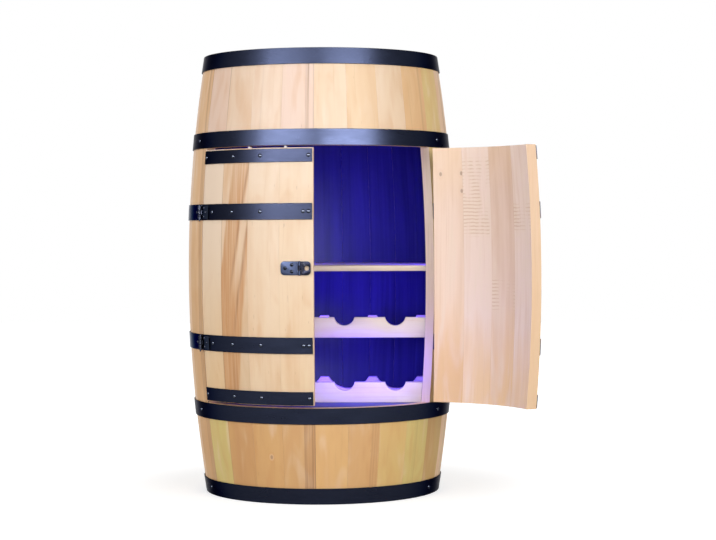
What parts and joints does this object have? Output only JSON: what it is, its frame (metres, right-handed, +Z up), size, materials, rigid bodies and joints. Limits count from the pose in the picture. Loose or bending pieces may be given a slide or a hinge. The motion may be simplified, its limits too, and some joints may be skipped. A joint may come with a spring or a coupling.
{
  "type": "barrel bar cabinet",
  "caption": "Stave barrel cabinet with black hoops, two hinged doors cut from its front, a shelf, notched bottle rails, light strips and an eye and hook latch.",
  "frame": {"origin": "middle of the base, on the barrel's axis at floor level", "axes": "+Z up along the barrel's axis, -Y through the middle of the doorway, +X to the viewer's right"},
  "size_m": [0.6364, 0.5513, 0.8],
  "materials": {
    "stave_wood": "satin pale softwood",
    "inner_wood": "planed pale softwood",
    "black_steel": "satin black",
    "light_lens": "blue violet lit lens",
    "black_plastic": "matt black"
  },
  "bodies": {
    "barrel": {"left_stave_pair_1": "stave_wood", "left_stave_pair_2": "stave_wood", "left_stave_pair_3": "stave_wood", "left_stave_pair_4": "stave_wood", "right_stave_pair_1": "stave_wood", "right_stave_pair_2": "stave_wood", "right_stave_pair_3": "stave_wood", "right_stave_pair_4": "stave_wood", "back_stave": "stave_wood", "upper_front_stave_pair_1": "stave_wood", "upper_front_stave_pair_2": "stave_wood", "upper_front_stave_pair_3": "stave_wood", "upper_front_stave_pair_4": "stave_wood", "lower_front_stave_pair_1": "stave_wood", "lower_front_stave_pair_2": "stave_wood", "lower_front_stave_pair_3": "stave_wood", "lower_front_stave_pair_4": "stave_wood", "top_head": "stave_wood", "bottom_head": "stave_wood", "floor_board": "inner_wood", "shelf": "inner_wood", "left_shelf_cleat": "inner_wood", "right_shelf_cleat": "inner_wood", "lower_front_rail": "inner_wood", "upper_front_rail": "inner_wood", "lower_back_rail": "inner_wood", "upper_back_rail": "inner_wood", "top_hoop": "black_steel", "upper_quarter_hoop": "black_steel", "upper_bilge_hoop": "black_steel", "lower_bilge_hoop": "black_steel", "lower_quarter_hoop": "black_steel", "bottom_hoop": "black_steel", "left_upper_frame_leaf": "black_steel", "left_lower_frame_leaf": "black_steel", "right_upper_frame_leaf": "black_steel", "right_lower_frame_leaf": "black_steel", "left_light_strip": "light_lens", "right_light_strip": "light_lens", "power_socket": "black_plastic"},
    "left_door": {"left_door_panel": "stave_wood", "left_door_top_strap": "black_steel", "left_door_bottom_strap": "black_steel", "left_upper_hinge_strap": "black_steel", "left_lower_hinge_strap": "black_steel", "left_upper_door_leaf": "black_steel", "left_lower_door_leaf": "black_steel", "latch_plate": "black_steel"},
    "right_door": {"right_door_panel": "stave_wood", "right_door_top_strap": "black_steel", "right_door_bottom_strap": "black_steel", "right_upper_hinge_strap": "black_steel", "right_lower_hinge_strap": "black_steel", "right_upper_door_leaf": "black_steel", "right_lower_door_leaf": "black_steel", "hook_plate": "black_steel"},
    "latch_flap": {"latch_flap": "black_steel"},
    "door_hook": {"door_hook": "black_steel"}
  },
  "joints": [
    {"name": "left_door_hinge", "type": "hinge", "parent": "barrel", "child": "left_door", "pos_m": [-0.2117, -0.13435, 0.4], "axis": [0, 0, -1], "range_deg": [0, 165]},
    {"name": "right_door_hinge", "type": "hinge", "parent": "barrel", "child": "right_door", "pos_m": [0.2117, -0.13435, 0.4], "axis": [0, 0, 1], "range_deg": [-110, 55]},
    {"name": "latch_flap_hinge", "type": "hinge", "parent": "left_door", "child": "latch_flap", "pos_m": [-0.02512, -0.24812, 0.4153], "axis": [0, 0, -1], "range_deg": [0, 110]},
    {"name": "door_hook_pivot", "type": "hinge", "parent": "right_door", "child": "door_hook", "pos_m": [0.38409, -0.27332, 0.4153], "axis": [-0.9164, -0.4003, 0], "range_deg": [-45, 90]}
  ]
}
